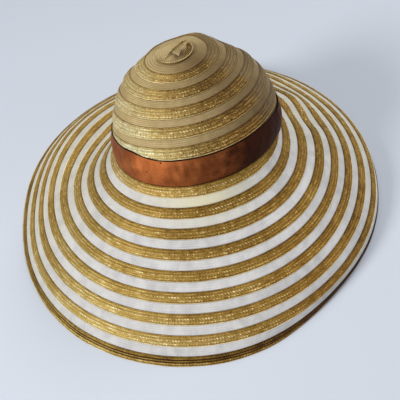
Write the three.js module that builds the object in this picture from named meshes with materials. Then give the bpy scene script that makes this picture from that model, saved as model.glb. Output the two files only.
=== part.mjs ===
// Picture hat: a wide-brimmed sun hat sewn from rows of straw braid with sheer crinoline between them.
// Units are millimetres, +Z is up, -Y is the front and +X the right-hand side seen from the front. The hat rests
// on its rim at z = 0.
//
// The shape is one skin. It runs from the tip of the crown down each meridian to the crown's foot, and from
// there outwards along the brim to the rim. Every row, band and ribbon is a strip of that skin.

import * as THREE from "three";

// Where the middle of the crown's foot lies, above the floor and beside the middle of the whole hat
const FOOT_AT = new THREE.Vector3(2.3, -15.6, 133);

// The crown's foot: an oval, turned about the vertical, that rises to the right and drops to the back
const FOOT = { halfWidth: 102, halfDepth: 92.5, turn: 25, riseRight: 0.105, dropBack: 0.158 };

// The crown: a full-sided dome on the foot. Its tip leans back and to the left, and its top is a little
// higher towards the right and the back than level.
const CROWN = { height: 100, sidePower: 0.82, topPower: 0.76, taper: 0.03 };
const LEAN = { x: -16, y: 37, power: 2.25 };
const TOP = { riseRight: 0.025, riseBack: 0.05 };

// Where the soft crown is pushed in (a negative height) or stands out: the place by azimuth and distance
// from the tip, and how far the shape spreads round the crown, in degrees, and down it
const CROWN_SWELLS = [
  { azimuth: 145, distance: 55, height: -4, degrees: 16, length: 14 },
  { azimuth: 64, distance: 48, height: 3, degrees: 20, length: 16 },
  { azimuth: 40, distance: 72, height: -4, degrees: 14, length: 14 },
];
const CROWN_HEART = new THREE.Vector3(-8, 18.5, 20);

// Widths of the sewn rows, measured along the skin
const STRAW_ROW = 12.7;
const BRIM_PITCH = 24.5;
const BRIM_ROWS = 8;
const BRIM_WIDTH = BRIM_ROWS * BRIM_PITCH + STRAW_ROW;
const CROWN_PITCH = 21.7;
const CROWN_ROWS = 5;
const TIP_RADIUS = 24;
const FIRST_ROW_AT = 36.7;
const RIBBON_WIDTH = 38;

// Thicknesses, and the clearance that sewn edges keep from each other
const STRAW_THICK = 1.6;
const SHEER_THICK = 1.0;
const SHEER_INSET = 0.3;
const RIM_THICK = 2.4;
const RIBBON_THICK = 1.0;
const CLEARANCE = 0.4;
const TIP_THICK = 2.0;
const TIP_RISE = 3.0;

// Steps round the hat
const BRIM_STEPS = 40;
const CROWN_STEPS = 32;
const RIBBON_PANELS = 4;

// How steeply the brim falls, in degrees, at even steps from its foot to its rim
const BRIM_FALL = [50, 38, 35, 38, 44];
// Where it is steeper than that, or flatter: round which azimuth (0 is the right, 90 the back) and over how many
// degrees, at what share of the way from the foot to the rim and over what share, and by how many degrees
const BRIM_FOLDS = [
  { azimuth: 0, spread: 40, place: 0.0, reach: 0.1, steeper: 45 },
  { azimuth: 75, spread: 30, place: 0.1, reach: 0.2, steeper: -20 },
  { azimuth: 150, spread: 30, place: 0.0, reach: 0.15, steeper: 15 },
  { azimuth: 260, spread: 40, place: 0.25, reach: 0.15, steeper: 15 },
  { azimuth: 0, spread: 45, place: 0.3, reach: 0.15, steeper: -15 },
  { azimuth: 145, spread: 35, place: 0.5, reach: 0.15, steeper: -25 },
  { azimuth: 320, spread: 40, place: 0.5, reach: 0.15, steeper: 10 },
  { azimuth: 50, spread: 45, place: 0.8, reach: 0.2, steeper: -25 },
  { azimuth: 180, spread: 25, place: 0.75, reach: 0.15, steeper: 15 },
  { azimuth: 10, spread: 50, place: 1.0, reach: 0.12, steeper: 45 },
  { azimuth: 310, spread: 30, place: 1.0, reach: 0.2, steeper: 35 },
  { azimuth: 205, spread: 25, place: 1.0, reach: 0.15, steeper: 15 },
];

const BRIM_SAMPLES = 104;
const CROWN_SAMPLES = 120;
const SETTLE_FROM = 0.6;

const straw = new THREE.MeshStandardMaterial({ color: 0xb8995a, roughness: 0.6, metalness: 0 });
const crownSheer = new THREE.MeshStandardMaterial({ color: 0xb3a174, roughness: 0.5, metalness: 0 });
const brimSheer = new THREE.MeshStandardMaterial({ color: 0xe2dcd0, roughness: 0.5, metalness: 0 });
const satin = new THREE.MeshStandardMaterial({ color: 0x8a4a2c, roughness: 0.4, metalness: 0 });

// A smooth curve through b and c, with a and d as the neighbours
function catmull(a, b, c, d, t) {
  return b + 0.5 * t * (c - a + t * (2 * a - 5 * b + 4 * c - d + t * (3 * (b - c) + d - a)));
}

function smooth(value) {
  const t = THREE.MathUtils.clamp(value, 0, 1);
  return t * t * (3 - 2 * t);
}

// The brim's slope, in radians, at one azimuth and a fraction of the way from foot to rim
function slopeAt(azimuth, fraction) {
  const last = BRIM_FALL.length - 1;
  const place = fraction * last;
  const first = Math.min(Math.floor(place), last - 1);
  const before = first > 0 ? BRIM_FALL[first - 1] : 2 * BRIM_FALL[0] - BRIM_FALL[1];
  const after = first + 2 <= last ? BRIM_FALL[first + 2] : 2 * BRIM_FALL[last] - BRIM_FALL[last - 1];
  const degrees = THREE.MathUtils.radToDeg(azimuth);
  let slope = catmull(before, BRIM_FALL[first], BRIM_FALL[first + 1], after, place - first);
  for (const fold of BRIM_FOLDS) {
    const turn = THREE.MathUtils.euclideanModulo(degrees - fold.azimuth + 180, 360) - 180;
    const away = (turn / fold.spread) ** 2 + ((fraction - fold.place) / fold.reach) ** 2;
    slope += fold.steeper * Math.exp(-away);
  }
  return THREE.MathUtils.degToRad(slope);
}

// The foot of the crown at one azimuth: radius, and the point on the tilted oval
function footAt(azimuth) {
  const turned = azimuth - THREE.MathUtils.degToRad(FOOT.turn);
  const long = FOOT.halfDepth * Math.cos(turned);
  const short = FOOT.halfWidth * Math.sin(turned);
  const radius = (FOOT.halfWidth * FOOT.halfDepth) / Math.hypot(long, short);
  const x = radius * Math.cos(azimuth);
  const y = radius * Math.sin(azimuth);
  return { radius, x, y, z: FOOT.riseRight * x - FOOT.dropBack * y };
}

// The point at a distance along a polyline of points with their distances
function along(points, distances, distance) {
  let next = 1;
  while (next < points.length - 1 && distances[next] < distance) next += 1;
  const start = distances[next - 1];
  const share = (distance - start) / (distances[next] - start);
  return points[next - 1].clone().lerp(points[next], share);
}

// One line of the brim's skin, from the foot to the rim. It falls at the slopes above, and over its outer part
// it settles, so that the whole rim lies on the floor.
function brimLine(azimuth) {
  const foot = footAt(azimuth);
  const step = BRIM_WIDTH / BRIM_SAMPLES;
  let out = foot.radius;
  let height = foot.z;
  const profile = [[out, height]];
  for (let i = 0; i < BRIM_SAMPLES; i += 1) {
    const slope = slopeAt(azimuth, (i + 0.5) / BRIM_SAMPLES);
    out += step * Math.cos(slope);
    height -= step * Math.sin(slope);
    profile.push([out, height]);
  }
  const settle = -FOOT_AT.z - height;
  const points = profile.map(([radius, z], i) => {
    const share = smooth((i / BRIM_SAMPLES - SETTLE_FROM) / (1 - SETTLE_FROM));
    return new THREE.Vector3(radius * Math.cos(azimuth), radius * Math.sin(azimuth), z + settle * share);
  });
  const distances = points.map((point, i) => i * step);
  return (distance) => along(points, distances, distance).add(FOOT_AT);
}

// How far the soft crown stands out of its smooth dome, at an azimuth and a distance from the tip
function swellAt(azimuth, distance) {
  const degrees = THREE.MathUtils.radToDeg(azimuth);
  return CROWN_SWELLS.reduce((sum, swell) => {
    const turn = THREE.MathUtils.euclideanModulo(degrees - swell.azimuth + 180, 360) - 180;
    const round = (turn / swell.degrees) ** 2;
    const down = ((distance - swell.distance) / swell.length) ** 2;
    return sum + swell.height * Math.exp(-round - down);
  }, 0);
}

// One meridian of the crown's skin, from the tip to the foot, by distance from the tip
function crownLine(azimuth) {
  const foot = footAt(azimuth);
  const points = [];
  const distances = [];
  for (let i = 0; i <= CROWN_SAMPLES; i += 1) {
    const angle = (Math.PI / 2) * (i / CROWN_SAMPLES) ** 1.2;
    const reach = Math.sin(angle) ** CROWN.sidePower;
    const rise = Math.max(Math.cos(angle), 0) ** CROWN.topPower;
    const scale = reach * (1 - CROWN.taper * rise);
    const lean = rise ** LEAN.power;
    const x = foot.x * scale + LEAN.x * lean;
    const y = foot.y * scale + LEAN.y * lean;
    const top = TOP.riseRight * (x - LEAN.x) + TOP.riseBack * (y - LEAN.y);
    const z = rise * (CROWN.height + top) + FOOT.riseRight * x - FOOT.dropBack * y;
    points.push(new THREE.Vector3(x, y, z));
    distances.push(i ? distances[i - 1] + points[i].distanceTo(points[i - 1]) : 0);
  }
  points.forEach((point, i) => {
    const out = point.clone().sub(CROWN_HEART).setLength(swellAt(azimuth, distances[i]));
    point.add(out);
  });
  const line = (distance) => along(points, distances, distance).add(FOOT_AT);
  line.reach = distances[CROWN_SAMPLES];
  return line;
}

function lines(makeLine, steps) {
  return Array.from({ length: steps }, (unused, i) => makeLine((i / steps) * 2 * Math.PI));
}

const brimLines = lines(brimLine, BRIM_STEPS);
const crownLines = lines(crownLine, CROWN_STEPS);

// The outward normal of a skin at line i and a distance along it
function normalAt(skin, i, distance) {
  const reach = 2;
  const count = skin.length;
  const down = skin[i](distance + reach).sub(skin[i](Math.max(distance - reach, 0)));
  const round = skin[(i + 1) % count](distance).sub(skin[(i + count - 1) % count](distance));
  return down.cross(round).normalize();
}

// A point at a depth below the skin, where the normal is taken at the strip's sewn edge
function below(skin, i, distance, edge, depth) {
  return skin[i](distance).addScaledVector(normalAt(skin, i, edge), -depth);
}

// A closed solid from rings of points: side i joins ring i to ring i + 1, and the last to the first
function ringSolid(name, material, sections) {
  const corners = sections[0].length;
  const count = sections.length;
  const positions = sections.flat().flatMap((point) => point.toArray());
  const index = [];
  for (let i = 0; i < count; i += 1) {
    for (let j = 0; j < corners; j += 1) {
      const a = i * corners + j;
      const b = i * corners + ((j + 1) % corners);
      const c = ((i + 1) % count) * corners + j;
      const d = ((i + 1) % count) * corners + ((j + 1) % corners);
      index.push(a, b, d, a, d, c);
    }
  }
  return solid(name, material, positions, index);
}

function solid(name, material, positions, index) {
  const geometry = new THREE.BufferGeometry();
  geometry.setAttribute("position", new THREE.Float32BufferAttribute(positions, 3));
  geometry.setIndex(index);
  geometry.computeVertexNormals();
  const mesh = new THREE.Mesh(geometry, material);
  mesh.name = name;
  return mesh;
}

// A strip of skin between two distances, with its outer face at one depth and its inner face at another.
// A wide strip is bent in several panels, to follow the skin.
function strip(name, material, skin, from, to, depth, thick, panels = 1) {
  const gap = CLEARANCE / 2;
  const sections = skin.map((line, i) => {
    const start = from(line);
    const end = to(line);
    const face = (faceDepth) =>
      Array.from({ length: panels + 1 }, (unused, j) => {
        const edge = start + ((end - start) * j) / panels;
        const inset = j === 0 ? gap : j === panels ? -gap : 0;
        return below(skin, i, edge + inset, edge, faceDepth);
      });
    return [...face(depth), ...face(depth + thick).reverse()];
  });
  return ringSolid(name, material, sections);
}

// The close-sewn rows at the edge of the brim, thicker than the rest, cut level where they meet the floor
function makeRim() {
  const start = BRIM_ROWS * BRIM_PITCH;
  const middle = start + STRAW_ROW / 2;
  const sections = brimLines.map((line, i) => {
    const edge = line(BRIM_WIDTH);
    const inwards = new THREE.Vector3(-edge.x, -edge.y, 0).setLength(RIM_THICK);
    return [
      below(brimLines, i, start + CLEARANCE / 2, start, 0),
      line(middle),
      edge.setZ(0),
      edge.clone().add(inwards).setZ(0),
      below(brimLines, i, middle, middle, RIM_THICK),
      below(brimLines, i, start + CLEARANCE / 2, start, STRAW_THICK),
    ];
  });
  return ringSolid("rim", straw, sections);
}

// The twisted end of the braid: a low cushion of folds, raised in a ring and hollowed in its middle
function makeTip() {
  const edge = TIP_RADIUS - CLEARANCE / 2;
  const rings = [
    { share: 1, rise: 0 },
    { share: 0.75, rise: 1 },
    { share: 0.4, rise: 0.7 },
  ];
  const sides = CROWN_STEPS;
  const top = rings.map(({ share, rise }) =>
    crownLines.map((line, i) => below(crownLines, i, edge * share, edge * share, -TIP_RISE * rise)));
  const bottom = rings.map(({ share }) =>
    crownLines.map((line, i) => below(crownLines, i, edge * share, edge * share, TIP_THICK)));
  const crest = crownLines[0](0);
  const loops = [...bottom.slice().reverse(), ...top];
  const positions = loops.flat().flatMap((point) => point.toArray());
  const topCentre = positions.length / 3;
  positions.push(crest.x, crest.y, crest.z + TIP_RISE / 2, crest.x, crest.y, crest.z - TIP_THICK);
  const index = [];
  for (let ring = 0; ring < loops.length - 1; ring += 1) {
    for (let i = 0; i < sides; i += 1) {
      const a = ring * sides + i;
      const b = ring * sides + ((i + 1) % sides);
      index.push(a, b, b + sides, a, b + sides, a + sides);
    }
  }
  const lastRing = (loops.length - 1) * sides;
  for (let i = 0; i < sides; i += 1) {
    const next = (i + 1) % sides;
    index.push(lastRing + i, lastRing + next, topCentre);
    index.push(next, i, topCentre + 1);
  }
  return solid("crown_tip", crownSheer, positions, index);
}

const group = new THREE.Group();
const at = (distance) => () => distance;

group.add(makeTip());

// The crown's rows, and the sheer band inside each of them
let bandFrom = TIP_RADIUS;
for (let row = 1; row <= CROWN_ROWS; row += 1) {
  const from = FIRST_ROW_AT + (row - 1) * CROWN_PITCH;
  const name = `crown_sheer_${row}`;
  group.add(strip(name, crownSheer, crownLines, at(bandFrom), at(from), SHEER_INSET, SHEER_THICK));
  bandFrom = from + STRAW_ROW;
  group.add(strip(`crown_straw_${row}`, straw, crownLines, at(from), at(bandFrom), 0, STRAW_THICK));
}
const foot = (line) => line.reach;
group.add(strip("crown_base", crownSheer, crownLines, at(bandFrom), foot, SHEER_INSET, SHEER_THICK));

// The ribbon lies on the outside of the crown and ends just above the brim
const ribbonFrom = (line) => line.reach - RIBBON_WIDTH;
const ribbonTo = (line) => line.reach - CLEARANCE;
const ribbonDepth = -CLEARANCE - RIBBON_THICK;
group.add(
  strip("hat_band", satin, crownLines, ribbonFrom, ribbonTo, ribbonDepth, RIBBON_THICK, RIBBON_PANELS),
);

// The brim's rows, and the sheer band outside each of them
for (let row = 1; row <= BRIM_ROWS; row += 1) {
  const from = (row - 1) * BRIM_PITCH;
  const edge = from + STRAW_ROW;
  group.add(strip(`brim_straw_${row}`, straw, brimLines, at(from), at(edge), 0, STRAW_THICK));
  const name = `brim_sheer_${row}`;
  group.add(strip(name, brimSheer, brimLines, at(edge), at(from + BRIM_PITCH), SHEER_INSET, SHEER_THICK));
}
group.add(makeRim());

export default group;
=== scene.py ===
"""Picture hat: rows of straw braid with sheer crinoline between them, a soft crown, a satin ribbon."""

import math

import bpy
import numpy as np
from mathutils import Matrix, Vector


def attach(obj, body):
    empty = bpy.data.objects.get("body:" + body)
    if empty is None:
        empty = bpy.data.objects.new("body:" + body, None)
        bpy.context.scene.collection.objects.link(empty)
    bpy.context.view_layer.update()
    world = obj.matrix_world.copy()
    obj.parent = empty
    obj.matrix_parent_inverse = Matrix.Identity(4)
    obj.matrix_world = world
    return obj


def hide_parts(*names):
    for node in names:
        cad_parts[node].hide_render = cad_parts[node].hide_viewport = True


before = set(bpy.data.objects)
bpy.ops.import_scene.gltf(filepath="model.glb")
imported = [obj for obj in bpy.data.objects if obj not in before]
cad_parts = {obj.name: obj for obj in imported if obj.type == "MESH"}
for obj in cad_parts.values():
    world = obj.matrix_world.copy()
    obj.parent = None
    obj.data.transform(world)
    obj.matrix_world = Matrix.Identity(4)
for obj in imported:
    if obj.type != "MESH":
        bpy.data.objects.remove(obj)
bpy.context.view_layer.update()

# ---- the hat's skin, in metres

# The skin runs from the crown's tip down to the crown's foot, and from there out along the brim to the rim.
# An azimuth of 0 is the right-hand side, 90 degrees the back, 180 the left and 270 the front.

TURN = 2 * math.pi
MM = 0.001
# The middle of the crown's foot, above the floor
FOOT_AT = np.array([0.0023, -0.0156, 0.133])
# The foot is an oval, turned by some degrees, that rises to the right and drops to the back
FOOT = {"half_width": 0.102, "half_depth": 0.0925, "turn": 25, "rise_right": 0.105, "drop_back": 0.158}
# The crown's height, the powers that round its sides and its top, and how much it narrows upwards
CROWN = {"height": 0.1, "side_power": 0.82, "top_power": 0.76, "taper": 0.03}
# How far the crown's tip leans from the foot's middle, and how its top is tilted
LEAN = {"x": -0.016, "y": 0.037, "power": 2.25}
TOP = {"rise_right": 0.025, "rise_back": 0.05}
CROWN_HEART = np.array([-0.008, 0.0185, 0.02])
# Where the soft crown stands out, or is pushed in, from its heart
CROWN_SWELLS = [
    # azimuth, distance from the tip, height, degrees it spreads over, length it spreads over
    (145, 0.055, -0.004, 16, 0.014),
    (64, 0.048, 0.003, 20, 0.016),
    (40, 0.072, -0.004, 14, 0.014),
]
# The same upwards for the brim, with distances from its foot
BRIM_SWELLS = [
    (34, 0.084, 0.007, 9, 0.030),
    (18, 0.084, -0.006, 8, 0.028),
]

# How wide a row of braid is, and how far apart the rows start on the brim and on the crown
STRAW_ROW = 0.0127
BRIM_PITCH = 0.0245
BRIM_ROWS = 8
BRIM_WIDTH = BRIM_ROWS * BRIM_PITCH + STRAW_ROW
CROWN_PITCH = 0.0217
CROWN_ROWS = 5
# Distances from the crown's tip to the edge of its cap and to the first row
TIP_RADIUS = 0.024
FIRST_ROW_AT = 0.0367

# How steeply the brim falls, in degrees, at even steps from its foot to its rim
BRIM_FALL = [50, 38, 35, 38, 44]
# Where it is steeper than that, or flatter: round which azimuth and over how many degrees, at what share of
# the way from the foot to the rim and over what share, and by how many degrees
BRIM_FOLDS = [
    # azimuth, spread, place, reach, steeper
    (0, 40, 0.0, 0.1, 45),
    (75, 30, 0.1, 0.2, -20),
    (150, 30, 0.0, 0.15, 15),
    (260, 40, 0.25, 0.15, 15),
    (0, 45, 0.3, 0.15, -15),
    (145, 35, 0.5, 0.15, -25),
    (320, 40, 0.5, 0.15, 10),
    (50, 45, 0.8, 0.2, -25),
    (180, 25, 0.75, 0.15, 15),
    (10, 50, 1.0, 0.12, 45),
    (310, 30, 1.0, 0.2, 35),
    (205, 25, 1.0, 0.15, 15),
]
# The share of the way to the rim from which the brim settles onto the floor
SETTLE_FROM = 0.6
SKIN_LINES = 1440
BRIM_SAMPLES = 104
CROWN_SAMPLES = 120
CROWN_CROWDING = 1.2
CROWN_STEP = 0.001
CROWN_REACH = 0.18


def catmull(a, b, c, d, t):
    """A smooth curve from b to c, with a and d as the points before and after them."""
    return b + 0.5 * t * (c - a + t * (2 * a - 5 * b + 4 * c - d + t * (3 * (b - c) + d - a)))


def smooth(value):
    """A soft step that rises from 0 at 0 to 1 at 1."""
    t = np.clip(value, 0, 1)
    return t * t * (3 - 2 * t)


def running(steps):
    """The sums of the steps so far along each row, from 0."""
    return np.pad(np.cumsum(steps, axis=-1), [(0, 0)] * (steps.ndim - 1) + [(1, 0)])


def foot_at(azimuth):
    """The crown's foot: its radius, and the place on the tilted oval."""
    turned = azimuth - math.radians(FOOT["turn"])
    long = FOOT["half_depth"] * np.cos(turned)
    short = FOOT["half_width"] * np.sin(turned)
    radius = FOOT["half_width"] * FOOT["half_depth"] / np.hypot(long, short)
    x, y = radius * np.cos(azimuth), radius * np.sin(azimuth)
    return radius, x, y, FOOT["rise_right"] * x - FOOT["drop_back"] * y


def around(azimuth, at, spread):
    """1 at one azimuth, fading to nothing over its spread in degrees."""
    turn = (np.degrees(azimuth) - at + 180) % 360 - 180
    return np.exp(-((turn / spread) ** 2))


def brim_slopes(azimuth, fraction):
    """The brim's slope in radians, for every azimuth and every fraction of the way out."""
    steps = len(BRIM_FALL) - 1
    first = np.minimum(np.floor(fraction * steps).astype(int), steps - 1)
    fall = np.array([2 * BRIM_FALL[0] - BRIM_FALL[1], *BRIM_FALL, 2 * BRIM_FALL[-1] - BRIM_FALL[-2]], float)
    near = [fall[first + step] for step in range(4)]
    slope = catmull(*near, fraction * steps - first)[None, :]
    for at, spread, place, reach, steeper in BRIM_FOLDS:
        there = np.exp(-(((fraction - place) / reach) ** 2))
        slope = slope + steeper * around(azimuth, at, spread)[:, None] * there[None, :]
    return np.radians(slope)


def brim_lines(azimuth):
    """The brim's lines at even steps from the foot to the rim, which lies level on the floor."""
    radius, _, _, height = foot_at(azimuth)
    step = BRIM_WIDTH / BRIM_SAMPLES
    slope = brim_slopes(azimuth, (np.arange(BRIM_SAMPLES) + 0.5) / BRIM_SAMPLES)
    out = radius[:, None] + running(step * np.cos(slope))
    z = height[:, None] - running(step * np.sin(slope))
    share = smooth((np.arange(BRIM_SAMPLES + 1) / BRIM_SAMPLES - SETTLE_FROM) / (1 - SETTLE_FROM))
    z = z + (-FOOT_AT[2] - z[:, -1:]) * share
    z = z + swell_at(azimuth, np.arange(BRIM_SAMPLES + 1) * step, BRIM_SWELLS)
    line = np.stack([out * np.cos(azimuth)[:, None], out * np.sin(azimuth)[:, None], z], axis=-1)
    return line + FOOT_AT


def swell_at(azimuth, distance, swells):
    """How far the swells stand out of the skin."""
    return sum(
        height * around(azimuth, at, spread)[:, None] * np.exp(-(((distance - down) / length) ** 2))
        for at, down, height, spread, length in swells
    )


def crown_lines(azimuth):
    """The crown's meridians at even steps of distance from the tip, and how long each one is."""
    angle = math.pi / 2 * np.linspace(0, 1, CROWN_SAMPLES + 1) ** CROWN_CROWDING
    reach = np.sin(angle) ** CROWN["side_power"]
    rise = np.maximum(np.cos(angle), 0) ** CROWN["top_power"]
    scale = reach * (1 - CROWN["taper"] * rise)
    lean = rise ** LEAN["power"]
    _, foot_x, foot_y, _ = foot_at(azimuth)
    x = foot_x[:, None] * scale + LEAN["x"] * lean
    y = foot_y[:, None] * scale + LEAN["y"] * lean
    top = TOP["rise_right"] * (x - LEAN["x"]) + TOP["rise_back"] * (y - LEAN["y"])
    z = rise * (CROWN["height"] + top) + FOOT["rise_right"] * x - FOOT["drop_back"] * y
    line = np.stack([x, y, z], axis=-1)
    distance = running(np.linalg.norm(np.diff(line, axis=1), axis=2))
    out = line - CROWN_HEART
    out /= np.linalg.norm(out, axis=2, keepdims=True)
    line = line + out * swell_at(azimuth, distance, CROWN_SWELLS)[..., None]
    even = np.arange(0, CROWN_REACH, CROWN_STEP)
    grid = np.empty((len(azimuth), len(even), 3))
    for points, places, row in zip(line, distance, grid):
        way = points[-1] - points[-2]
        way = way / np.linalg.norm(way)
        # Past its end a meridian goes straight on
        past = np.maximum(even - places[-1], 0)[:, None]
        for k in range(3):
            row[:, k] = np.interp(even, places, points[:, k])
        row += past * way
    return grid + FOOT_AT, distance[:, -1]


class Skin:
    """A grid of points by azimuth and by distance, read at any place between them."""

    def __init__(self, grid, step):
        self.grid = grid
        self.step = step

    def at(self, azimuth, distance):
        """The points at azimuths and distances."""
        lines, samples = self.grid.shape[:2]
        azimuth, distance = np.broadcast_arrays(azimuth, distance)
        i = azimuth / TURN * lines
        j = distance / self.step
        first = np.floor(i).astype(int)
        near = np.clip(np.floor(j).astype(int), 0, samples - 2)
        s, t = (i - first)[..., None], (j - near)[..., None]
        a, b = first % lines, (first + 1) % lines
        low = self.grid[a, near] * (1 - s) + self.grid[b, near] * s
        high = self.grid[a, near + 1] * (1 - s) + self.grid[b, near + 1] * s
        return low * (1 - t) + high * t

    def normal(self, azimuth, distance, reach=0.0015, turn=0.012):
        """The outward directions, taken over a reach in metres and a turn in radians."""
        down = self.at(azimuth, distance + reach) - self.at(azimuth, np.maximum(distance - reach, 0))
        side = self.at(azimuth + turn, distance) - self.at(azimuth - turn, distance)
        out = np.cross(down, side)
        return out / np.maximum(np.linalg.norm(out, axis=-1, keepdims=True), 1e-12)

    def length(self, distance):
        """How long the ring at a distance is."""
        ring = self.at(np.linspace(0, TURN, 721), distance)
        return float(np.linalg.norm(np.diff(ring, axis=0), axis=1).sum())


line_azimuths = np.arange(SKIN_LINES) / SKIN_LINES * TURN
brim = Skin(brim_lines(line_azimuths), BRIM_WIDTH / BRIM_SAMPLES)
crown_grid, crown_reaches = crown_lines(line_azimuths)
crown = Skin(crown_grid, CROWN_STEP)


def reach_at(azimuth):
    """How far it is from the crown's tip down to its foot."""
    degrees = np.degrees(azimuth) % 360
    ends = np.append(crown_reaches, crown_reaches[0])
    return np.interp(degrees, np.linspace(0, 360, SKIN_LINES + 1), ends)


# ---- meshes from rings of sections

random = np.random.default_rng(9)


def ripple(azimuth, low, high, count=9):
    """A smooth uneven wave round the hat, about 1 high, with between low and high turns."""
    total = np.zeros_like(azimuth)
    for turns in random.integers(low, high, count):
        total += np.sin(turns * azimuth + random.uniform(0, TURN)) * random.uniform(0.5, 1)
    return total / math.sqrt(count / 2)


def wide(values, grid):
    """Values by azimuth, each the same all the way across a grid."""
    return np.broadcast_to(values[:, None], grid.shape)


UV_MARGIN = 0.03


def ring_mesh(name, sections, closed, values, material, whole_turn=True, sharp=50):
    """Joins sections of points to a smooth band, with values at the points. closed says that they are loops.

    Edges sharper than some degrees stay sharp; 0 leaves none. The flat layout cuts a long band into rows.
    """
    count, corners = sections.shape[:2]
    spans = count if whole_turn else count - 1
    sides = corners if closed else corners - 1
    i, j = (g.ravel() for g in np.meshgrid(np.arange(spans), np.arange(sides), indexing="ij"))
    nxt, side = (i + 1) % count, (j + 1) % corners
    faces = np.stack([i * corners + j, i * corners + side, nxt * corners + side, nxt * corners + j], axis=1)
    edges = np.linalg.norm(np.diff(sections[0], axis=0, append=sections[0, :1]), axis=1)[:sides]
    across = running(edges) / edges.sum()
    length = np.linalg.norm(np.diff(sections[:, 0], axis=0), axis=1).sum()
    rows = max(1, round(math.sqrt(length / edges.sum())))
    run = math.ceil(spans / rows)
    row = i // run
    low, high = ((row + UV_MARGIN + (1 - 2 * UV_MARGIN) * across[k]) / rows for k in (j, j + 1))
    left, right = (i % run) / run, (i % run + 1) / run
    uvs = np.stack([left, low, left, high, right, high, right, low], axis=1)
    mesh = bpy.data.meshes.new(name)
    mesh.from_pydata(sections.reshape(-1, 3).tolist(), [], faces.tolist())
    for key, data in values.items():
        mesh.attributes.new(key, "FLOAT", "POINT").data.foreach_set("value", data.astype(np.float32).ravel())
    mesh.uv_layers.new(name="OFBake").data.foreach_set("uv", uvs.astype(np.float32).ravel())
    mesh.materials.append(material)
    mesh.shade_smooth()
    if sharp:
        mesh.set_sharp_from_angle(angle=math.radians(sharp))
    piece = bpy.data.objects.new(name, mesh)
    bpy.context.scene.collection.objects.link(piece)
    return piece


# ---- materials


class Nodes:
    """A short way to write a material's nodes. A colour is red, green and blue. Values not given are 0."""

    def __init__(self, name):
        self.material = bpy.data.materials.new(name)
        self.material.use_nodes = True
        self.tree = self.material.node_tree
        self.shader = self.tree.nodes["Principled BSDF"]

    def put(self, socket, value):
        if isinstance(value, bpy.types.NodeSocket):
            self.tree.links.new(value, socket)
        else:
            socket.default_value = value

    def node(self, kind, inputs=(), output=0, **settings):
        made = self.tree.nodes.new(kind)
        for key, value in settings.items():
            setattr(made, key, value)
        for key, value in dict(inputs).items():
            self.put(made.inputs[key], value)
        return made.outputs[output]

    def value(self, name):
        return self.node("ShaderNodeAttribute", output=2, attribute_name=name)

    def math(self, operation, *values):
        return self.node("ShaderNodeMath", dict(enumerate(values)), operation=operation)

    def plus(self, a, b):
        return self.math("ADD", a, b)

    def minus(self, a, b):
        return self.math("SUBTRACT", a, b)

    def times(self, a, b):
        return self.math("MULTIPLY", a, b)

    def uneven(self, noise, strength):
        """A noise's ups and downs about its middle."""
        return self.times(self.minus(noise, 0.5), strength)

    def shade(self, inputs):
        """Sets the shader's inputs, or links them, by name."""
        for name, value in inputs.items():
            self.put(self.shader.inputs[name], value)

    def vector(self, x, y, z):
        return self.node("ShaderNodeCombineXYZ", {0: x, 1: y, 2: z})

    def stretched(self, along, along_scale, across, across_scale, depth=0.0):
        """A place on the cloth for a noise that is drawn out along it or across it."""
        return self.vector(self.times(along, along_scale), self.times(across, across_scale), depth)

    def noise(self, vector, scale, detail=2.0, roughness=0.5):
        inputs = {"Vector": vector, "Scale": scale, "Detail": detail, "Roughness": roughness}
        return self.node("ShaderNodeTexNoise", inputs)

    def ramp(self, factor, stops):
        stops = list(stops)
        made = self.tree.nodes.new("ShaderNodeValToRGB")
        elements = made.color_ramp.elements
        while len(elements) < len(stops):
            elements.new(0.5)
        for element, (position, colour) in zip(elements, stops):
            element.position = position
            element.color = (*colour, 1)
        self.put(made.inputs[0], factor)
        return made.outputs[0]

    def mix(self, factor, a, b, blend="MIX"):
        made = self.tree.nodes.new("ShaderNodeMix")
        made.data_type = "RGBA"
        made.blend_type = blend
        self.put(made.inputs[0], factor)
        for socket, colour in ((made.inputs[6], a), (made.inputs[7], b)):
            self.put(socket, colour if isinstance(colour, bpy.types.NodeSocket) else (*colour, 1))
        return made.outputs[2]

    def range(self, value, low, high, to_low=0.0, to_high=1.0):
        inputs = {0: value, 1: low, 2: high, 3: to_low, 4: to_high}
        return self.node("ShaderNodeMapRange", inputs)

    def bump(self, height, distance, strength=1.0):
        return self.node("ShaderNodeBump", {"Height": height, "Distance": distance, "Strength": strength})

    def place(self):
        return self.node("ShaderNodeTexCoord", output=3)


# Lengths in millimetres: one plait of straw, the straw's folded width, and the meshes of the net
PLAIT_PITCH = 3.6
STRAW_FOLD = 1.9
NET_PITCH = 0.9
# Where on the scale of tones the straw is dark, brown, gold and pale
STRAW_TONES = (0.05, 0.32, 0.62, 0.95)
# By what share a full pale cast raises the straw's red, green and blue
PALE_CAST_SHARES = (-0.05, 0.05, 0.2)
VEIL_COLOUR = (0.20, 0.15, 0.09)
CREAM_COLOUR = (0.86, 0.80, 0.58)


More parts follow.
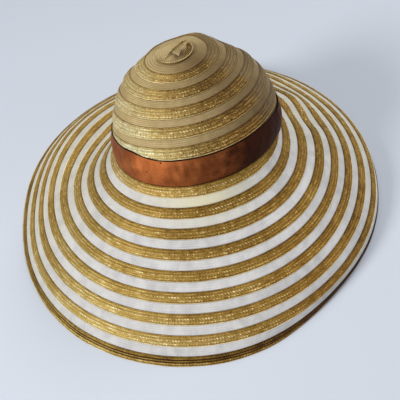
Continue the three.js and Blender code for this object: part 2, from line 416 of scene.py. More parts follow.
def straw_material(name, dark, brown, gold, pale, speckle):
    """Straw of four dyed tones: plaited flecks, fibres, dark pores and larger patches. Its tone also carries
    painted light and shade.
    """
    n = Nodes(name)
    tone, along, across = n.value("tone"), n.value("along"), n.value("across")
    fold = n.math("PINGPONG", across, STRAW_FOLD)
    wave = n.math("COSINE", n.times(n.plus(along, fold), TURN / PLAIT_PITCH))
    fleck = n.times(n.range(wave, 0.55, 1.0), n.value("plait"))
    fibre = n.noise(n.stretched(along, 0.6, across, 1.3, fold), 1.3, 3.0)
    patch = n.noise(n.place(), 28.0, 2.0)
    pore = n.noise(n.vector(along, across, 3.0), 0.9, 1.0)
    level = n.plus(tone, n.uneven(fibre, 0.8))
    level = n.minus(level, n.range(pore, 0.5, 0.68, 0.0, speckle))
    level = n.plus(level, n.times(fleck, 0.2))
    level = n.plus(level, n.uneven(patch, 0.3))
    colour = n.ramp(level, zip(STRAW_TONES, (dark, brown, gold, pale)))
    # The cast makes the straw paler and cooler, and deeper where it is negative
    pale_cast = n.value("pale_cast")
    cast = [n.plus(n.times(pale_cast, share), 1.0) for share in PALE_CAST_SHARES]
    colour = n.mix(1.0, colour, n.vector(*cast), "MULTIPLY")
    colour = n.mix(n.times(n.value("veil"), 0.55), colour, VEIL_COLOUR)
    height = n.plus(n.times(n.times(wave, n.value("plait")), 0.5), fibre)
    n.shade({
        "Base Color": colour,
        "Roughness": n.range(fibre, 0.2, 0.8, 0.38, 0.62),
        "Normal": n.bump(height, 0.0004, 0.8),
        "Tangent": n.node("ShaderNodeTangent", direction_type="RADIAL", axis="Z"),
        "Metallic": 0.42,
        "Anisotropic": 0.4,
        "Anisotropic Rotation": 0.25,
        "Specular IOR Level": 0.12,
    })
    return n.material


def sheer_material(name, thread, shadow, painted_shade, solid, between, glow_share, metal, gloss):
    """Crinoline: a net of fine filaments, darkened by a painted shade colour where the light falls away, with
    painted light and shade on its ribs. solid and between say how much a filament and a gap cover.
    """
    n = Nodes(name)
    along, across = n.value("along"), n.value("across")
    slant = n.times(n.plus(along, across), TURN / NET_PITCH)
    counter = n.times(n.minus(along, across), TURN / NET_PITCH)
    net = n.math("MAXIMUM", n.math("COSINE", slant), n.math("COSINE", counter))
    streak = n.noise(n.stretched(along, 0.02, across, 1.6), 1.0, 3.0)
    patch = n.noise(n.place(), 30.0, 2.0)
    fold = n.noise(n.stretched(along, 0.09, across, 0.05), 1.0, 3.0)
    level = n.plus(n.times(streak, 0.3), n.times(patch, 0.3))
    level = n.plus(level, n.times(fold, 0.4))
    # Painted light and shade that follow the relief
    level = n.plus(level, n.value("painted_relief_light"))
    colour = n.mix(n.range(level, 0.38, 0.56), shadow, thread)
    colour = n.mix(n.value("cream_and_highlight"), colour, CREAM_COLOUR)
    # Painted shade
    colour = n.mix(n.value("painted_shade"), colour, painted_shade)
    cover = n.plus(n.range(net, -0.4, 0.9, between, solid), n.times(n.value("lap"), 0.3))
    cover = n.math("MINIMUM", cover, 1.0)
    n.shade({
        "Base Color": colour,
        "Alpha": cover,
        "Normal": n.bump(n.plus(net, streak), 0.00015, 0.6),
        "Roughness": 0.42,
        "Specular IOR Level": gloss,
        "Metallic": metal,
    })
    glow = n.node("ShaderNodeBsdfTranslucent", {"Color": colour})
    clear = n.node("ShaderNodeBsdfTransparent")
    veil = n.node("ShaderNodeMixShader", {0: cover, 1: clear, 2: glow})
    both = n.node("ShaderNodeMixShader", {0: glow_share, 1: n.shader.outputs[0], 2: veil})
    n.put(n.tree.nodes["Material Output"].inputs["Surface"], both)
    return n.material


brim_straw = straw_material(
    "straw_brim", dark=(0.035, 0.013, 0.003), brown=(0.205, 0.112, 0.018), gold=(0.42, 0.275, 0.07),
    pale=(0.82, 0.73, 0.46), speckle=0.18,
)
crown_straw = straw_material(
    "straw_crown", dark=(0.04, 0.017, 0.005), brown=(0.20, 0.118, 0.028), gold=(0.42, 0.295, 0.10),
    pale=(0.80, 0.70, 0.42), speckle=0.20,
)
brim_net = sheer_material(
    "crinoline_brim", thread=(0.78, 0.77, 0.765), shadow=(0.58, 0.57, 0.575), painted_shade=(0.12, 0.118, 0.12),
    solid=0.98, between=0.88, glow_share=0.2, metal=0.0, gloss=0.4,
)
crown_net = sheer_material(
    "crinoline_crown", thread=(0.66, 0.505, 0.25), shadow=(0.42, 0.305, 0.13), painted_shade=(0.1, 0.056, 0.017),
    solid=0.98, between=0.9, glow_share=0.1, metal=0.2, gloss=0.2,
)


# ---- straw braid

# How much lighter or darker the straw is round the hat, which is painted light on its lit left and painted
# shade on its right; how strong the painted shade on the net and the ribbon is, how much the plaits' flecks
# show, and how much paler or deeper the straw's cast is: the level all round, and soft patches of it
TINTS = {
    # level, [(azimuth, spread, strength)]
    "first brim": (0.0, [(205, 60, 0.14), (345, 45, -0.2)]),
    "inner brim": (-0.05, [(190, 50, 0.1), (255, 30, -0.12), (330, 50, -0.1)]),
    "outer brim": (0.0, [(235, 45, 0.12), (330, 45, -0.2)]),
    "rim": (0.0, [(340, 55, -0.5)]),
    "upper crown": (0.0, [(195, 35, 0.2), (310, 55, -0.3)]),
    "lower crown": (0.0, [(205, 45, 0.35), (335, 50, -0.3)]),
    "upper net": (0.15, [(315, 75, 0.7)]),
    "lower net": (0.05, [(325, 65, 0.8)]),
    "brim net": (0.0, [(170, 75, 0.2)]),
    "cream_and_highlight": (0.0, [(75, 60, 0.8), (170, 40, 0.4)]),
    "ribbon": (0.0, [(325, 38, 1.3), (110, 60, 0.25)]),
    "flecks": (0.0, [(280, 45, 1.0), (40, 60, 0.8)]),
    "pale_cast": (0.0, [(226, 30, 1.0), (307, 22, -1.0)]),
}


def tint_at(azimuth, name):
    level, patches = TINTS[name]
    return level + sum(strength * around(azimuth, at, spread) for at, spread, strength in patches)


def tint_between(azimuth, first, last, share):
    """A tint that passes from the first to the last, at a share of the way between them."""
    return tint_at(azimuth, first) * (1 - share) + tint_at(azimuth, last) * share


# The cords of a braid, from its sewn upper edge to its selvage, in millimetres. The stitched cords are dark
# stitching with painted shade along the edges.
BRAID = [
    # centre, half width, rise, tone, kind
    (1.10, 0.75, 0.10, 0.30, "stitched_and_shaded"),
    (3.20, 1.15, 0.40, 0.54, "cord"),
    (4.80, 0.45, 0.12, 0.50, "gap"),
    (6.50, 1.15, 0.42, 0.57, "plait"),
    (8.60, 0.65, 0.05, 0.45, "gap"),
    (10.50, 1.15, 0.40, 0.57, "plait"),
    (12.20, 0.45, 0.00, 0.36, "stitched_and_shaded"),
    (13.05, 0.35, 0.25, 1.00, "selvage"),
]
# Samples along one plait, the depth of the grooves, and how many times deeper they are at a braid's edges
SAMPLES = 4
GROOVE = -0.28
EDGE_GROOVE = 1.4
INNER_EDGE = (BRAID[0][0] - BRAID[0][1]) * MM
OUTER_EDGE = (BRAID[-1][0] + BRAID[-1][1]) * MM
# The samples across one cord, as shares of its half width
ROUND = {"cord": (-0.6, 0, 0.6), "plait": (-0.6, 0, 0.6), "gap": (0,), "stitched_and_shaded": (0,), "selvage": (0,)}
# How far a braid strays to the sides and up and down on its way round, in millimetres
STRAY = 0.12
LIFT = 0.1
# The tone of a braid's hidden side, and the one under which a cord counts as dark
UNDER_TONE = 0.45
DARK_TONE = 0.3


def braid_profile(columns):
    """The samples across a braid: the place, its cord (-1 for a groove), and the offset or groove's tone."""
    samples = [(columns[0][0] - columns[0][1], -1, columns[0][3])]
    for k, (centre, half, _, tone, kind) in enumerate(columns):
        samples += [(centre + offset * half, k, offset) for offset in ROUND[kind]]
        after = columns[k + 1][3] if k + 1 < len(columns) else tone
        # A groove takes the mean tone of the cords beside it, a little darker: painted shade
        samples.append((centre + half, -1, 0.5 * (tone + after) - 0.04))
    return samples


def cord_look(kind, owner, phase, beat, cells, flecks):
    """What a cord's kind adds to its height, in millimetres, and to its tone."""
    if kind == "plait":
        fleck = smooth((beat + 0.1) / 0.9) * cells
        return 0.14 * beat * flecks * np.abs(cells), flecks * (0.42 * fleck - 0.08)
    if kind == "gap":
        return 0, flecks * (0.12 + 0.14 * beat * cells)
    if kind == "cord":
        return 0.06 * beat * flecks, flecks * (0.12 * beat * cells - 0.06)
    if kind == "stitched_and_shaded":
        # Dark stitching in dashes, with painted shade along the sewn edge
        dash = smooth((np.cos(TURN * phase + owner) + 0.2) / 0.8) * cells
        return -0.3 * dash, 0.16 - 0.38 * dash
    return 0, 0


def braid_row(name, skin, start, columns, thick, material, node, tints, share, veil=np.zeros_like):
    """One braid sewn round the hat, with its cords and grooves above and a plain side below. Its tints are
    painted light and shade round the hat.
    """
    samples = braid_profile(columns)
    places = np.array([sample[0] for sample in samples])
    length = skin.length(start + STRAW_ROW / 2) / MM
    plaits = round(length / PLAIT_PITCH)
    count = SAMPLES * plaits
    azimuth = np.arange(count) / count * TURN
    phase = np.arange(count) / SAMPLES
    stray = ripple(azimuth, 3, 40) * STRAY
    lift = ripple(azimuth, 4, 30) * LIFT
    # The tints are painted light where the light falls and painted shade where it falls away
    tint = tint_between(azimuth, *tints, share)
    # What is darker than DARK_TONE takes more of the painted light and shade up to 0.1, and less of the rest
    low_tint = 1.3 * np.minimum(tint, 0.1) + 0.7 * np.maximum(tint - 0.1, 0)
    flecks = tint_at(azimuth, "flecks")
    uneven = ripple(azimuth, 20, 220, 14) * 0.5
    # How strongly each plait shows, and how a cord's tone wanders along it
    strengths = [np.repeat(random.uniform(-0.5, 1.3, plaits), SAMPLES) for _ in columns]
    streaks = [ripple(azimuth, 5, 90, 12) for _ in columns]
    heights, tones, plaited = [], [], []
    for place, owner, offset in samples:
        if owner < 0:
            edge = place in (places[0], places[-1])
            heights.append(np.full(count, GROOVE * (EDGE_GROOVE if edge else 1)) + lift)
            tones.append(offset + 0.05 * uneven + (low_tint if offset < DARK_TONE else tint))
            plaited.append(np.zeros(count))
            continue
        _, _, rise, tone, kind = columns[owner]
        # The plaits shift from cord to cord, and on every fourth cord they slant the other way
        slant = 0.25 * abs((owner + 2) % 4 - 2) + 0.3 * offset * (1 if owner % 4 == 1 else -1)
        beat = np.cos(TURN * (phase + slant))
        more_height, more_tone = cord_look(kind, owner, phase, beat, strengths[owner], flecks)
        height = rise - 0.25 * abs(offset) + lift + more_height
        shade = tone + (low_tint if tone < DARK_TONE else tint) + 0.06 * streaks[owner] + more_tone
        heights.append(height + 0.03 * uneven)
        tones.append(shade + 0.05 * uneven)
        plaited.append(flecks * (1.0 if kind == "plait" else 0.25))
    under = places[[-1, len(places) // 2, 0]]
    heights += [np.full(count, -thick / MM) + lift for _ in under]
    tones += [np.full(count, UNDER_TONE) for _ in under]
    plaited += [np.ones(count) for _ in under]
    across = np.concatenate([places, under])
    distance = start + (across[None, :] + stray[:, None]) * MM
    spots = wide(azimuth, distance)
    normal = skin.normal(spots, distance)
    points = skin.at(spots, distance) + normal * (np.stack(heights, axis=1) * MM)[..., None]
    points[..., 2] = np.maximum(points[..., 2], 0.0)
    # Paler and cooler at the front left, deeper at the front right, and more so on the outer rows
    pale_cast = tint_at(azimuth, "pale_cast") * (0.1 + share)
    values = {
        "tone": np.stack(tones, axis=1),
        "plait": np.stack(plaited, axis=1),
        "along": wide(phase * length / plaits, distance),
        "across": np.broadcast_to(across[None, :], distance.shape),
        "veil": wide(veil(azimuth), distance),
        "pale_cast": wide(pale_cast, distance),
    }
    piece = ring_mesh(name, points, True, values, material)
    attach(piece, "root")
    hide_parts(node)


def grey_veil(row):
    """Where the greyer crinoline laps over a crown row, on the hat's right. On row 3 it has a hard edge."""
    start, ramp = (336, 2) if row == 3 else (318, 34)

    def veil(azimuth):
        degrees = (np.degrees(azimuth) - 180) % 360 + 180
        return smooth((degrees - start) / ramp) * smooth((450 - degrees) / 50)

    return veil


STRAW_THICK = 0.0014
RIM_THICK = 0.002
FIRST_TINTS = ("first brim", "first brim")
BRIM_TINTS = ("inner brim", "outer brim")
CROWN_TINTS = ("upper crown", "lower crown")
RIM_TINTS = ("rim", "rim")
for row in range(1, BRIM_ROWS + 1):
    start = (row - 1) * BRIM_PITCH
    share = (row - 1) / BRIM_ROWS
    tints = BRIM_TINTS if row > 1 else FIRST_TINTS
    name, node = f"brim_braid_{row}", f"brim_straw_{row}"
    braid_row(name, brim, start, BRAID, STRAW_THICK, brim_straw, node, tints, share)
for row in range(1, CROWN_ROWS + 1):
    start = FIRST_ROW_AT + (row - 1) * CROWN_PITCH
    share = ((row - 1) / (CROWN_ROWS - 1)) ** 1.5
    name, node = f"crown_braid_{row}", f"crown_straw_{row}"
    veil = grey_veil(row)
    braid_row(name, crown, start, BRAID, STRAW_THICK, crown_straw, node, CROWN_TINTS, share, veil)

# The rim is three braids sewn close, one over the other. The dark gaps between them are painted shade.
RIM_BRAID = [
    # centre, half width, rise, tone, kind
    (1.10, 0.75, 0.00, 0.24, "stitched_and_shaded"),
    (2.90, 1.05, 0.50, 0.44, "cord"),
    (4.55, 0.60, -0.35, -0.08, "gap"),
    (6.10, 0.95, 0.50, 0.46, "cord"),
    (7.65, 0.60, -0.35, -0.10, "gap"),
    (9.50, 1.25, 0.50, 0.58, "plait"),
    (11.15, 0.40, -0.10, 0.24, "gap"),
    (12.10, 0.55, 0.20, 0.85, "selvage"),
]
start = BRIM_ROWS * BRIM_PITCH
braid_row("rim_braid", brim, start, RIM_BRAID, RIM_THICK, brim_straw, "rim", RIM_TINTS, 1.0)


# ---- sheer crinoline

# How far the net lies under the skin, how far inside its edges the ribs begin, how far and how deep the edges
# tuck in under the braids, and how high the net ripples
SHEER_DEPTH = 0.0006
STEP_IN = 0.0003
TUCK = 0.0012
TUCK_DEPTH = 0.00165
SHEER_RIPPLE = 0.00012
# How much a metre of a rib's height would change the net's tone: painted light on the crests and painted
# shade in the hollows
RIB_PAINTED_LIGHT = 500


def each(value, azimuth):
    """A value for each azimuth, from one number or from a function of the azimuth."""
    return value(azimuth) if callable(value) else np.full(azimuth.shape, value)


def crinoline(
    name, skin, start, end, material, node, step, ribs, rib_height, painted_shade, cream_and_highlight=np.zeros_like
):
    """One band of net from start to end, with ribs along it and its edges tucked in under the braids. Its
    ribs carry painted light and shade, and painted shade darkens it round the hat.
    """
    width = float(np.mean(end(line_azimuths) if callable(end) else end) - start)
    length = skin.length(start + width / 2)
    count = int(length / step)
    azimuth = np.arange(count) / count * TURN
    inner = np.linspace(STEP_IN / width, 1 - STEP_IN / width, 2 * ribs + 1)
    share = np.concatenate([[-TUCK / width, 0], inner, [1, 1 + TUCK / width]])
    distance = start + share[None, :] * (each(end, azimuth) - start)[:, None]
    spots = wide(azimuth, distance)
    wave = np.where(np.arange(2 * ribs + 1) % 2 == 1, 1.0, -1.0)
    depth = np.concatenate([[-TUCK_DEPTH] * 2, -SHEER_DEPTH + 0 * inner, [-TUCK_DEPTH] * 2])
    height = np.broadcast_to(depth, distance.shape).copy()
    rise = each(rib_height, azimuth)[:, None] * wave[None, :]
    height[:, 2:-2] += rise
    height[:, 2:-2] += (ripple(azimuth, 8, 60) * SHEER_RIPPLE)[:, None] * np.sin(math.pi * inner)
    points = skin.at(spots, distance) + skin.normal(spots, distance) * height[..., None]
    lap = np.zeros(distance.shape)
    lap[:, [0, 1, -2, -1]] = 1
    # Painted light and shade: lighter on the ribs' crests, darker in their hollows
    painted_relief_light = np.zeros(distance.shape)
    painted_relief_light[:, 2:-2] = RIB_PAINTED_LIGHT * rise
    values = {
        "along": wide(np.arange(count) / count * length / MM, distance),
        "across": (distance - start) / MM,
        "lap": lap,
        "painted_relief_light": painted_relief_light,
        # Painted shade round the band
        "painted_shade": wide(painted_shade(azimuth), distance),
        "cream_and_highlight": wide(cream_and_highlight(azimuth), distance),
    }
    piece = ring_mesh(name, points, False, values, material, sharp=0)
    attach(piece, "root")
    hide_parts(node)


# Where the brim's bands are creamier, and where painted shade greys them: soft patches, each round one row
# and azimuth
CREAM = [
    # row, rows it fades over, azimuth, spread, strength
    (1, 1, 270, 30, 1.0),
]
SHADE_PATCHES = [
    # row, rows it fades over, azimuth, spread, strength
    (1, 0.5, 290, 15, 0.1),
    (6, 1, 290, 20, 0.15),
    (7.5, 1, 215, 15, 0.1),
]


def patches_at(azimuth, row, table):
    """How strongly a table's patches show on a row's band."""
    return sum(
        strength * around(azimuth, at, spread) * math.exp(-(((row - place) / rows) ** 2))
        for place, rows, at, spread, strength in table
    )


def brim_look(row, tint, table):
    """How strong a tint is round a row's band, together with a table's patches."""
    return lambda azimuth: tint_at(azimuth, tint) + patches_at(azimuth, row, table)


# The brim's bands take painted shade on the left and in soft grey patches, and cream in patches
for row in range(1, BRIM_ROWS + 1):
    crinoline(
        f"brim_crinoline_{row}", brim,
        start=(row - 1) * BRIM_PITCH + OUTER_EDGE, end=row * BRIM_PITCH + INNER_EDGE,
        material=brim_net, node=f"brim_sheer_{row}",
        step=0.0025, ribs=4, rib_height=0.00008,
        painted_shade=brim_look(row, "brim net", SHADE_PATCHES), cream_and_highlight=brim_look(row, "cream_and_highlight", CREAM),
    )


def crown_pleats(azimuth):
    """How high the crown's net is pleated, most of all at the front left."""
    return 0.0001 + 0.00045 * around(azimuth, 212, 34)


def crown_painted_shade(share):
    """How strong the painted shade on the crown crinoline is, at a share of the way down the crown."""
    return lambda azimuth: tint_between(azimuth, "upper net", "lower net", share)


band_from = TIP_RADIUS
for row in range(1, CROWN_ROWS + 2):
    base = row > CROWN_ROWS
    start = FIRST_ROW_AT + (row - 1) * CROWN_PITCH
    crinoline(
        "crown_crinoline_base" if base else f"crown_crinoline_{row}", crown,
        start=band_from, end=reach_at if base else start + INNER_EDGE,
        material=crown_net, node="crown_base" if base else f"crown_sheer_{row}",
        step=0.0015, ribs=6 if base else 4, rib_height=crown_pleats, painted_shade=crown_painted_shade((row - 1) / CROWN_ROWS),
    )
    band_from = start + OUTER_EDGE


# ---- satin ribbon

# How far above the crown's foot the upper edge runs, and the lower one, in metres
RIBBON_TOP = 0.037
RIBBON_BOTTOM = 0.0006
RIBBON_DIPS = [
    # azimuth, spread, how much lower the upper edge runs
    (8, 30, 0.008),
    (222, 10, -0.002),
    (250, 15, 0.001),
]
RIBBON_WIDTH = 0.038
RIBBON_THICK = 0.0004
# The azimuths of the ribbon's ends, and over how many degrees and how high the last laps over the first
RIBBON_ENDS = (340, 340 + 374)
RIBBON_LAP = 14
RIBBON_OVER = 0.0013
RIBBON_LINES = 516
# The samples from the upper edge to the lower one
RIBBON_SHARES = [0, 0.012, 0.03, 0.048, *np.linspace(0.1, 0.92, 15), 0.955, 0.975, 1]
RIBBON_CREASES = [
    # turns round the hat, height, how far it leans
    (5, 0.0005, 2.0),
    (13, 0.0004, -3.0),
    (31, 0.00025, 5.0),
    (67, 0.00012, -6.0),
]
# The crown's radius at the ribbon in millimetres, roughly
RIBBON_RADIUS = 100
# The satin's colours; one is painted shade, and the hems' dark stands for painted shadow too
SATIN = {
    "plain": (0.26, 0.07, 0.018),
    "bright": (0.42, 0.13, 0.036),
    "thread": (0.46, 0.19, 0.08),
    "grain": (0.07, 0.022, 0.012),
    "painted_shade": (0.034, 0.009, 0.004),
    "spot": (0.015, 0.006, 0.004),
    "hem_and_shadow": (0.012, 0.005, 0.004),
}


def satin_material():
    """Brown satin with threads along it, dark grain and spots, painted shade where it turns from the light,
    and hems of dark thread with painted shadow along them.
    """
    n = Nodes("satin")
    along, across = n.value("along"), n.value("across")
    thread = n.noise(n.stretched(along, 0.35, across, 4.0), 1.0, 2.0)
    grain = n.noise(n.place(), 900.0, 1.0)
    cloud = n.noise(n.stretched(along, 0.07, across, 0.09), 1.0, 4.0, 0.6)
    patch = n.noise(n.place(), 60.0, 3.0)
    spot = n.noise(n.place(), 240.0, 1.0)
    colour = n.mix(n.range(patch, 0.35, 0.66), SATIN["plain"], SATIN["bright"])
    colour = n.mix(n.range(thread, 0.45, 0.85, 0.0, 0.35), colour, SATIN["thread"])
    colour = n.mix(n.range(grain, 0.45, 0.8, 0.0, 0.45), colour, SATIN["grain"])
    # Painted shade, mottled by a cloud where it sets in
    painted_shade = n.value("painted_shade")
    middle = n.times(painted_shade, n.minus(1.0, painted_shade))
    uneven = n.times(n.uneven(cloud, middle), 7.0)
    depth = n.node("ShaderNodeClamp", {0: n.plus(painted_shade, uneven)})
    colour = n.mix(depth, colour, SATIN["painted_shade"])
    colour = n.mix(n.range(spot, 0.73, 0.76), colour, SATIN["spot"])
    # Dark hems with painted shadow along them
    colour = n.mix(n.value("edge"), colour, SATIN["hem_and_shadow"])
    n.shade({
        "Base Color": colour,
        "Normal": n.bump(n.plus(thread, grain), 0.00012, 0.6),
        "Tangent": n.node("ShaderNodeTangent", direction_type="RADIAL", axis="Z"),
        "Roughness": 0.6,
        "Metallic": 0.85,
        "Specular IOR Level": 0.1,
        "Anisotropic": 0.55,
        "Anisotropic Rotation": 0.25,
    })
    return n.material


def ribbon():
    """The band of satin round the crown's foot, creased along its length, with its last end lapped over.
    Painted shade darkens it on the right and at the back.
    """
    azimuth_low, azimuth_high = (math.radians(end) for end in RIBBON_ENDS)
    azimuth = np.linspace(azimuth_low, azimuth_high, RIBBON_LINES)
    top = RIBBON_TOP - sum(lower * around(azimuth, at, spread) for at, spread, lower in RIBBON_DIPS)
    share = np.array(RIBBON_SHARES)
    reach = reach_at(azimuth)
    distance = (reach - top)[:, None] + share[None, :] * (top - RIBBON_BOTTOM)[:, None]
    spots = wide(azimuth, distance)
    # It stands off the crown, most of all at its middle
    bulge = 0.0009 + 0.0011 * np.sin(math.pi * share) + 0.0004 * share
    height = np.broadcast_to(bulge, distance.shape).copy()
    for turns, size, lean in RIBBON_CREASES:
        phase = random.uniform(0, TURN)
        crease = np.sin(turns * azimuth[:, None] + lean * share[None, :] + phase)
        height += size * crease * (0.3 + 0.7 * np.sin(math.pi * share))
    lap = smooth((azimuth - (azimuth_high - math.radians(RIBBON_LAP))) / math.radians(0.5 * RIBBON_LAP))
    height += RIBBON_OVER * lap[:, None]
    points = crown.at(spots, distance) + crown.normal(spots, distance, 0.003, 0.03) * height[..., None]
    # Dark hems, with painted shadow along them, run along both edges and across the last end
    hems_and_shadow = np.maximum(smooth((share - 0.95) / 0.025), smooth((0.04 - share) / 0.012))
    last = smooth((azimuth - azimuth_high + 0.014) / 0.004)
    values = {
        "along": spots * RIBBON_RADIUS,
        "across": np.broadcast_to(share * RIBBON_WIDTH / MM, distance.shape),
        "edge": np.maximum(hems_and_shadow[None, :], last[:, None]),
        # Painted shade on the right and at the back
        "painted_shade": wide(tint_at(azimuth, "ribbon"), distance),
    }
    piece = ring_mesh("ribbon", points, False, values, satin_material(), whole_turn=False, sharp=0)
    solidify = piece.modifiers.new("thickness", "SOLIDIFY")
    solidify.thickness = RIBBON_THICK
    solidify.offset = -1
    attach(piece, "root")
    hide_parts("hat_band")


ribbon()


# ---- the twisted tip

# The tip's places are in millimetres from its middle: x to the right, y to the back
# The straight cord's two ends, how far it bows to the right of them, and its height over the cloth
TIP_CORD = ((12, 22), (-13, -11))
TIP_CORD_BOW = 1
TIP_CORD_HEIGHT = 2.6
# The tip's corded edge is an arc of an oval; its braid is widest at one azimuth
TIP_EDGE_MIDDLE = (-1, 0)
TIP_EDGE_HALF = (21, 22)
TIP_EDGE_FROM, TIP_EDGE_TO = 190, 410
TIP_EDGE_HEIGHT = 1.6
# How deep its ends sink into the cloth, and over how many degrees it and its braid do that
TIP_EDGE_SINK = 0.6
TIP_EDGE_RISE, TIP_BRAID_RISE = 25, 15
TIP_BRAID_WIDTH = (1.5, 8.5)
TIP_BRAID_WIDEST, TIP_BRAID_SPREAD = 345, 50
# One plait of the tip's braid, and how many samples run across it, every other one of them a ridge
TIP_PLAIT = 2.6
TIP_BRAID_SAMPLES = 13
# The small folded corner between the cord and the braid: its point, the azimuths and length of its sides
TIP_CORNER = (-4, -1)
TIP_CORNER_SIDES = (15, -55)
TIP_CORNER_LENGTH = 14
# A cord's radius, the length of one turn of its twist, and the points round it
CORD_RADIUS = 0.75
CORD_TWIST = 2.6
CORD_SIDES = 12
# A radius inside the cap that turns an azimuth into a length along the cloth
TIP_MEAN_RADIUS = 14


def tip_place(x, y, height):
    """The points over the crown's skin at places on the tip, all in millimetres."""
    azimuth = np.arctan2(y, x) % TURN
    distance = np.maximum(np.hypot(x, y), 0.2) * MM
    return crown.at(azimuth, distance) + crown.normal(azimuth, distance) * (height * MM)[..., None]


def cord_path(steps):
    """The straight cord's x, y and height, from its back end to its front one."""
    (ax, ay), (bx, by) = TIP_CORD
    share = np.linspace(0, 1, steps)
    length = math.hypot(bx - ax, by - ay)
    bow = TIP_CORD_BOW * np.sin(math.pi * share)
    x = ax + (bx - ax) * share - (by - ay) / length * bow
    y = ay + (by - ay) * share + (bx - ax) / length * bow
    return x, y, TIP_CORD_HEIGHT * smooth(np.minimum(share, 1 - share) * 4)


def edge_path(steps):
    """The corded edge's x, y and height, and the width of the braid inside it."""
    degrees = np.linspace(TIP_EDGE_FROM, TIP_EDGE_TO, steps)
    azimuth = np.radians(degrees)
    x = TIP_EDGE_MIDDLE[0] + TIP_EDGE_HALF[0] * np.cos(azimuth)
    y = TIP_EDGE_MIDDLE[1] + TIP_EDGE_HALF[1] * np.sin(azimuth)
    end = np.minimum(degrees - TIP_EDGE_FROM, TIP_EDGE_TO - degrees)
    low, high = TIP_BRAID_WIDTH
    width = low + (high - low) * around(azimuth, TIP_BRAID_WIDEST, TIP_BRAID_SPREAD)
    rise = smooth(end / TIP_EDGE_RISE)
    height = TIP_EDGE_HEIGHT * rise - TIP_EDGE_SINK * (1 - rise)
    return x, y, height, width * smooth(end / TIP_BRAID_RISE + 0.3)


def beyond_cord(x, y):
    """How far a place lies behind and to the left of the straight cord."""
    (ax, ay), (bx, by) = TIP_CORD
    length = math.hypot(bx - ax, by - ay)
    return ((x - ax) * (by - ay) - (y - ay) * (bx - ax)) / length + TIP_CORD_BOW


def tip_relief(x, y):
    """The height of the tip's folded crinoline, in millimetres.

    A flap stands up beyond the cord and a hollow lies before it. Both are flat again at the cap's edge, and
    so are the small round folds on the left.
    """
    out = np.hypot(x, y)
    side = beyond_cord(x, y)
    beyond = smooth((side + 0.5) / 1.4)
    flap = beyond * (1.3 + 0.9 * np.exp(-np.maximum(side, 0) / 5))
    hollow = (1 - beyond) * (0.7 + 0.7 * np.exp(np.minimum(side, 0) / 4))
    left = around(np.arctan2(y, x), 165, 60)
    folds = 0.35 * left * np.cos(TURN * out / 3.4) * smooth((out - 6) / 5)
    return -SHEER_DEPTH / MM + smooth((23.5 - out) / 7) * (flap - hollow) + folds * smooth((24.5 - out) / 2)


def tip_piece(piece):
    """What all the tip's pieces have in common: they stand for one solid."""
    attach(piece, "root")
    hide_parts("crown_tip")


def tip_cap():
    """The round cap of folded crinoline."""
    count, rings = 200, 56
    azimuth = np.arange(count) / count * TURN
    distance = np.linspace(0.3, (TIP_RADIUS + TUCK) / MM, rings)[None, :]
    x, y = distance * np.cos(azimuth)[:, None], distance * np.sin(azimuth)[:, None]
    relief = tip_relief(x, y)
    relief[:, -2:] = -TUCK_DEPTH / MM
    relief[:, 0] = relief[:, 0].mean()
    values = {
        "along": wide(azimuth * TIP_MEAN_RADIUS, x),
        "across": np.broadcast_to(distance, x.shape),
        # Painted light and shade: lighter where the folds rise outwards, darker where they fall; painted
        # shade as on the crown's top
        "painted_relief_light": 0.25 * np.gradient(relief, axis=1),
        "painted_shade": wide(crown_painted_shade(0)(azimuth), x),
    }
    points = tip_place(x, y, relief)
    piece = ring_mesh("crown_tip_net", points, False, values, crown_net, sharp=0)
    tip_piece(piece)


def path_normals(x, y):
    """The directions to the right of a line on the tip, seen along it."""
    way = np.stack([np.gradient(x), np.gradient(y)], axis=1)
    way /= np.linalg.norm(way, axis=1, keepdims=True)
    return way[:, 1], -way[:, 0]


def tip_cord(name, x, y, height, tone):
    """A twisted cord laid along a line, tapering into the cloth at both ends."""
    out_x, out_y = path_normals(x, y)
    run = running(np.hypot(np.diff(x), np.diff(y)))
    angle = np.arange(CORD_SIDES) / CORD_SIDES * TURN
    twist = np.cos(2 * angle[None, :] - TURN * run[:, None] / CORD_TWIST)
    taper = smooth(np.minimum(run, run[-1] - run) / 3 + 0.12)
    radius = CORD_RADIUS * taper[:, None] * (1 + 0.2 * twist)
    side = radius * np.cos(angle)
    rise = radius * np.sin(angle)
    across_x, across_y = x[:, None] + out_x[:, None] * side, y[:, None] + out_y[:, None] * side
    points = tip_place(across_x, across_y, height[:, None] + rise)
    values = {
        "tone": tone + 0.34 * twist,
        "along": wide(run, twist),
        "across": np.broadcast_to(angle * CORD_RADIUS, twist.shape),
    }
    piece = ring_mesh(name, points, True, values, crown_straw, whole_turn=False)
    tip_piece(piece)


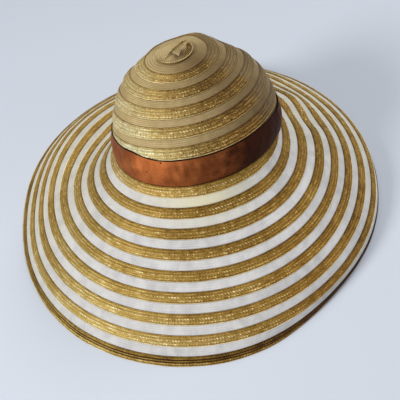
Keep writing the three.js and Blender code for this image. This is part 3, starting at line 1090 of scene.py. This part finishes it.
def tip_braid():
    """The end of the braid, which turns inside the tip's corded edge."""
    x, y, height, width = edge_path(200)
    in_x, in_y = (-out[:, None] for out in path_normals(x, y))
    run = running(np.hypot(np.diff(x), np.diff(y)))
    column = np.arange(TIP_BRAID_SAMPLES)
    share = column / (TIP_BRAID_SAMPLES - 1)
    ridge = np.where(column % 2 == 1, 1.0, 0.0)
    beat = np.cos(TURN * (run[:, None] / TIP_PLAIT + 0.5 * (column // 2 % 2)[None, :]))
    fall = 0.4 + 1.5 * share**1.5
    level = height[:, None] - fall[None, :] + 0.45 * ridge * np.minimum(width / 5, 1)[:, None] + 0.12 * beat
    across = share[None, :] * width[:, None]
    tone = -0.1 + 0.55 * ridge[None, :] + 0.35 * beat * ridge
    points = tip_place(x[:, None] + in_x * across, y[:, None] + in_y * across, level)
    # The plain side underneath, from the inner edge back to the outer one
    back = across[:, ::-1]
    below = height[:, None] - (1.4 + 1.5 * share[::-1] ** 1.5)[None, :]
    under = tip_place(x[:, None] + in_x * back, y[:, None] + in_y * back, below)
    whole = np.concatenate([points, under], axis=1)
    values = {
        "tone": np.concatenate([tone, np.full(tone.shape, 0.4)], axis=1),
        "plait": np.full(whole.shape[:2], 0.6),
        "along": wide(run, whole[..., 0]),
        "across": np.concatenate([across, back], axis=1),
    }
    piece = ring_mesh("crown_tip_braid", whole, True, values, crown_straw, whole_turn=False)
    tip_piece(piece)


def tip_corner():
    """A folded corner of crinoline, a triangle with soft edges, in painted shade with a painted highlight
    along its far edge.
    """
    a = np.array([*TIP_CORNER, 1.0])
    sides = [math.radians(side) for side in TIP_CORNER_SIDES]
    b, c = (a + [*(TIP_CORNER_LENGTH * np.array([math.cos(side), math.sin(side)])), 0.4] for side in sides)
    steps = 16
    u = np.linspace(0.06, 1, steps)[:, None]
    v = np.linspace(0, 1, steps)[None, :]
    near = a + (b - a) * u[..., None]
    far = a + (c - a) * u[..., None]
    spot = near + (far - near) * v[..., None]
    bulge = 0.5 * np.sin(math.pi * v) * u - 0.9 * smooth((0.12 - v) / 0.12) * u
    x, y, height = spot[..., 0], spot[..., 1], spot[..., 2] + bulge
    shape = x.shape
    # A painted highlight along the far edge: less painted shade, and more relief light and cream there
    edge = smooth((v - 0.86) / 0.1) * np.ones(shape)
    values = {
        "along": x,
        "across": y,
        "lap": np.ones(shape),
        "painted_relief_light": 0.2 * edge,
        "painted_shade": 0.5 - 0.25 * edge,
        "cream_and_highlight": 0.25 * edge,
    }
    points = tip_place(x, y, height)
    piece = ring_mesh("crown_tip_corner", points, False, values, crown_net, whole_turn=False, sharp=0)
    tip_piece(piece)


tip_cap()
tip_cord("crown_tip_cord", *cord_path(120), 0.62)
tip_cord("crown_tip_edge", *edge_path(240)[:3], 0.55)
tip_braid()
tip_corner()


# ---- floor, light and camera


def add_floor():
    """A wide grey floor under the hat."""
    n = Nodes("floor")
    n.shade({"Base Color": (0.47, 0.505, 0.57, 1), "Roughness": 0.9})
    size = 12.0
    mesh = bpy.data.meshes.new("floor")
    corners = [(-size, -size, 0), (size, -size, 0), (size, size, 0), (-size, size, 0)]
    mesh.from_pydata(corners, [], [(0, 1, 2, 3)])
    mesh.materials.append(n.material)
    floor = bpy.data.objects.new("floor", mesh)
    bpy.context.scene.collection.objects.link(floor)


def add_light(name, place, target, size, power, colour):
    """A round light of a size in metres and a power in watts, turned to its target."""
    data = bpy.data.lights.new(name, "AREA")
    data.shape = "DISK"
    data.size = size
    data.energy = power
    data.color = colour
    light = bpy.data.objects.new(name, data)
    light.location = place
    light.rotation_mode = "QUATERNION"
    light.rotation_quaternion = (Vector(target) - Vector(place)).to_track_quat("-Z", "Y")
    bpy.context.scene.collection.objects.link(light)


# Angles in degrees; the distance from the crown's foot and the shifts to the right and up in metres
CAMERA = {"elevation": 53.2, "roll": 5.2, "distance": 0.669, "right": -0.0032, "up": -0.0838, "angle": 40}


def add_camera():
    """The camera in front of the hat, looking down at it."""
    elevation, roll = math.radians(CAMERA["elevation"]), math.radians(CAMERA["roll"])
    forward = Vector((0, math.cos(elevation), -math.sin(elevation)))
    right = Vector((1, 0, 0))
    up = right.cross(forward)
    side = right * math.cos(roll) - up * math.sin(roll)
    top = right * math.sin(roll) + up * math.cos(roll)
    place = Vector(FOOT_AT) - forward * CAMERA["distance"] + right * CAMERA["right"] + up * CAMERA["up"]
    data = bpy.data.cameras.new("camera")
    data.sensor_fit = "HORIZONTAL"
    data.angle = math.radians(CAMERA["angle"])
    data.clip_start, data.clip_end = 0.01, 50
    camera = bpy.data.objects.new("camera", data)
    camera.matrix_world = Matrix.Translation(place) @ Matrix((side, top, -forward)).transposed().to_4x4()
    bpy.context.scene.collection.objects.link(camera)
    bpy.context.scene.camera = camera


add_floor()
add_light("key", (-1.55, -1.15, 1.25), (0, 0, 0.08), 0.6, 48, (1.0, 0.985, 0.95))
add_light("overhead", (-0.1, 0.1, 2.2), (0, 0, 0.0), 2.0, 19, (0.95, 0.97, 1.0))
add_light("right", (1.5, -0.7, 0.7), (0.1, 0, 0.05), 1.0, 7, (1.0, 0.98, 0.94))
add_light("back", (1.3, 1.2, 2.0), (0.05, 0, 0.05), 1.2, 33, (1.0, 0.99, 0.97))
world = bpy.data.worlds.new("studio")
world.use_nodes = True
sky = world.node_tree.nodes["Background"]
sky.inputs["Color"].default_value = (0.92, 0.95, 1.0, 1)
sky.inputs["Strength"].default_value = 0.15
bpy.context.scene.world = world
bpy.context.scene.view_settings.view_transform = "Standard"
add_camera()
